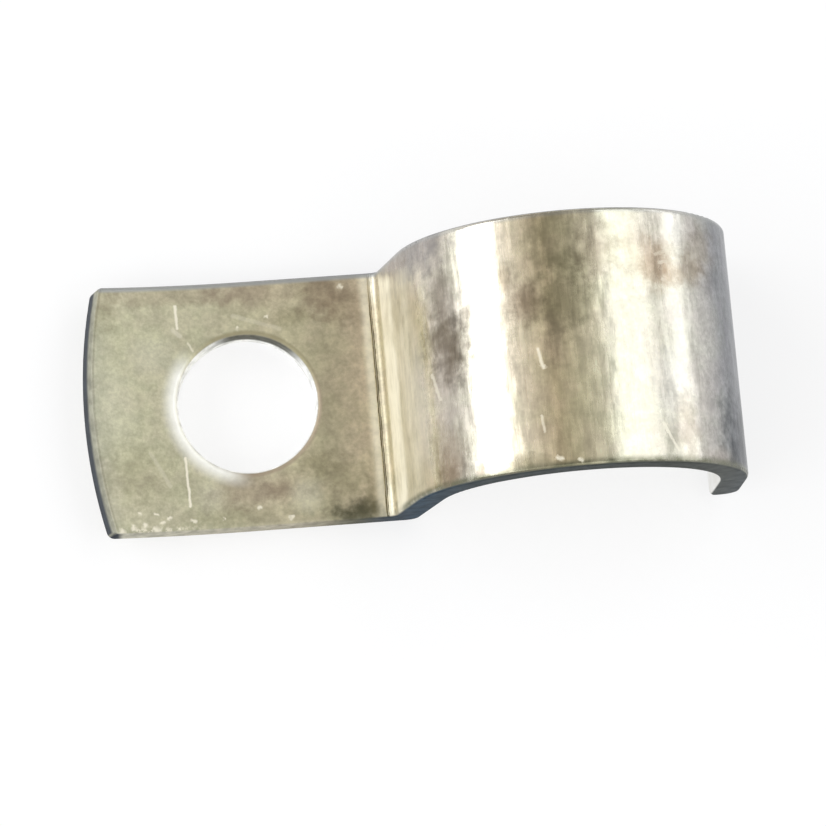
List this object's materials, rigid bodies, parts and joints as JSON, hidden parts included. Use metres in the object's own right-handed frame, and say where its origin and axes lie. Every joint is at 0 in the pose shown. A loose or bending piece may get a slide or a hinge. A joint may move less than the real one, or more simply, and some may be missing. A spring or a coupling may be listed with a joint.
{
  "type": "conduit strap",
  "caption": "Conduit strap of heavy folded steel strip: a bolted foot with a round hole, and a half-round saddle that hooks over a conduit.",
  "frame": {"origin": "centre of the bolt hole, in the plane of the foot's flat underside", "axes": "+X from the bolt hole to the saddle, along the strip; +Y across the strip; +Z away from the wall, the way the bolt comes out"},
  "size_m": [0.0493, 0.019, 0.0192],
  "materials": {
    "plated_steel": "heavy steel strip, zinc plated and passivated olive-gold, worn bright on edges and bends"
  },
  "bodies": {
    "root": {"strap": "plated_steel"}
  },
  "joints": []
}
